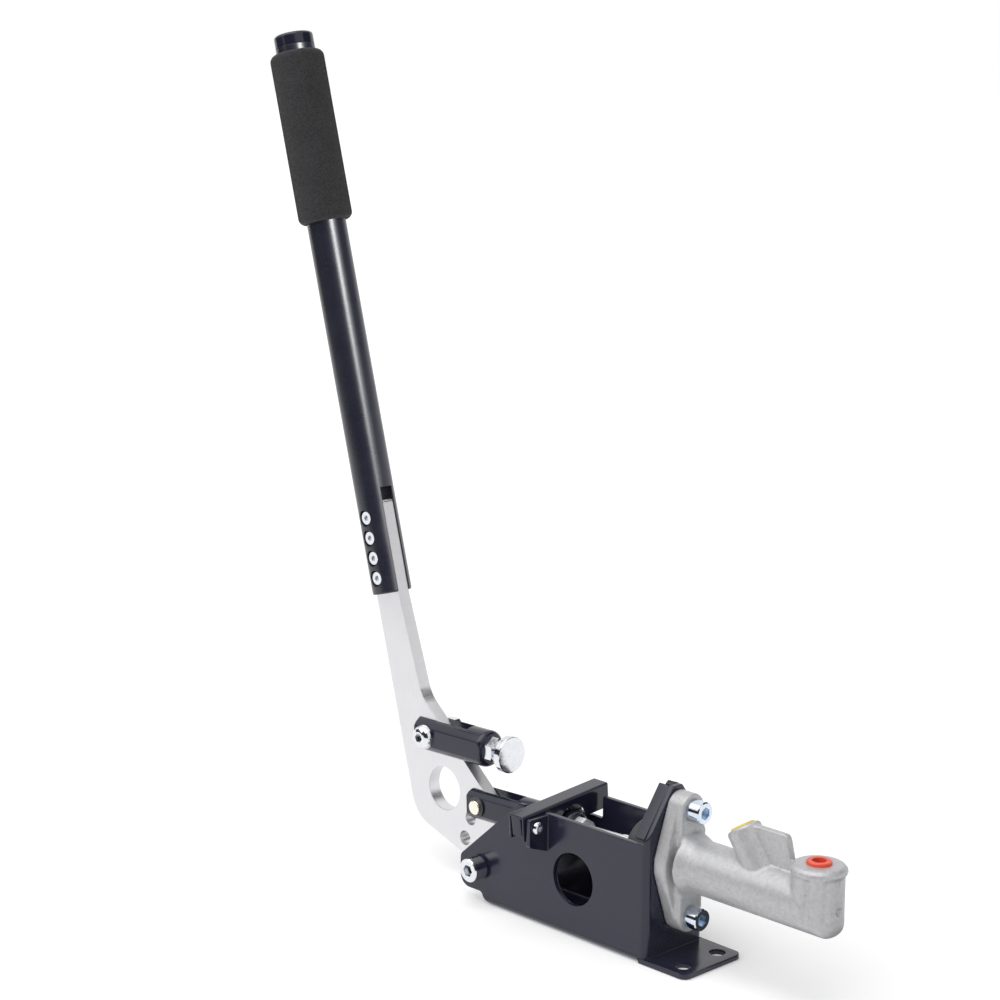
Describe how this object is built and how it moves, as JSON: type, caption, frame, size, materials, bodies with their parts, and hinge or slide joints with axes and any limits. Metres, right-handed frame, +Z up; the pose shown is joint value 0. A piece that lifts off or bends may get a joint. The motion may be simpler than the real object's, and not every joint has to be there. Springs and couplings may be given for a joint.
{
  "type": "parking brake lever",
  "caption": "Upright hydraulic parking brake lever: foam-gripped handle on a pivoted plate in a folded bracket, pushing a master cylinder through a clevis and rod.",
  "frame": {"origin": "middle of the base's bolt holes, on the underside of the base", "axes": "+X towards the master cylinder, +Z up, +Y across the bracket away from the cross bar's screw"},
  "size_m": [0.4219, 0.0707, 0.4681],
  "materials": {
    "black_paint": "gloss black paint",
    "black_anodised": "gloss black anodised",
    "zinc_steel": "bright zinc plated",
    "yellow_zinc": "pale yellow zinc plated",
    "spring_steel": "dark spring steel",
    "cast_aluminium": "as cast, fine grain",
    "raw_aluminium": "satin, uncoated",
    "piston_alloy": "turned, hard coated",
    "bronze": "plain bearing bronze",
    "foam": "matt black foam",
    "rubber": "matt black rubber",
    "yellow_plastic": "moulded yellow",
    "red_plastic": "moulded red"
  },
  "bodies": {
    "base": {"base_bracket": "black_paint", "pivot_bolt": "zinc_steel", "pivot_washers": "black_anodised", "pivot_nut": "zinc_steel", "pivot_spacers": "zinc_steel", "bar_screw": "zinc_steel", "bar_nut": "zinc_steel", "master_cylinder": "cast_aluminium", "flange_bolts": "zinc_steel", "flange_nuts": "zinc_steel", "inlet_plug": "yellow_plastic", "outlet_plug": "red_plastic", "dust_boot": "rubber", "stop_washer": "zinc_steel", "snap_ring": "spring_steel", "return_spring": "spring_steel"},
    "bar": {"cross_bar": "black_paint"},
    "lever": {"lever_plate": "raw_aluminium", "pivot_bush": "bronze", "handle_tube": "black_anodised", "handle_screws": "zinc_steel", "foam_grip": "foam", "end_cap": "black_anodised", "stop_fork": "black_anodised", "fork_screw": "zinc_steel", "fork_nut": "zinc_steel", "stop_bolt": "zinc_steel", "stop_locknut": "zinc_steel"},
    "rod": {"rod_clevis": "black_anodised", "clevis_pin": "yellow_zinc", "clevis_clips": "spring_steel", "push_rod": "zinc_steel", "rod_locknut": "zinc_steel"},
    "piston": {"piston": "piston_alloy", "pressure_cup": "rubber", "rear_cup": "rubber"}
  },
  "joints": [
    {"name": "lever_pivot", "type": "hinge", "parent": "base", "child": "lever", "pos_m": [-0.082, 0, 0.0205], "axis": [0, 1, 0], "range_deg": [0, 27]},
    {"name": "rod_pivot", "type": "hinge", "parent": "lever", "child": "rod", "pos_m": [-0.09989, 0, 0.04703], "axis": [0, 1, 0], "range_deg": [-25, 0]},
    {"name": "piston_slide", "type": "slide", "parent": "base", "child": "piston", "axis": [1, 0, 0], "range_m": [0, 0.0145], "stiffness_N_per_m": 800, "springref_m": -0.012, "deforming": ["return_spring"]},
    {"name": "bar_pivot", "type": "hinge", "parent": "base", "child": "bar", "pos_m": [-0.0338, -0.0309, 0.058], "axis": [1, 0, 0], "range_deg": [0, 84]}
  ],
  "couplings": [
    {"joint": "rod_pivot", "follows": "lever_pivot", "ratio": -0.911},
    {"joint": "piston_slide", "follows": "lever_pivot", "m_per_rad": 0.02995}
  ]
}
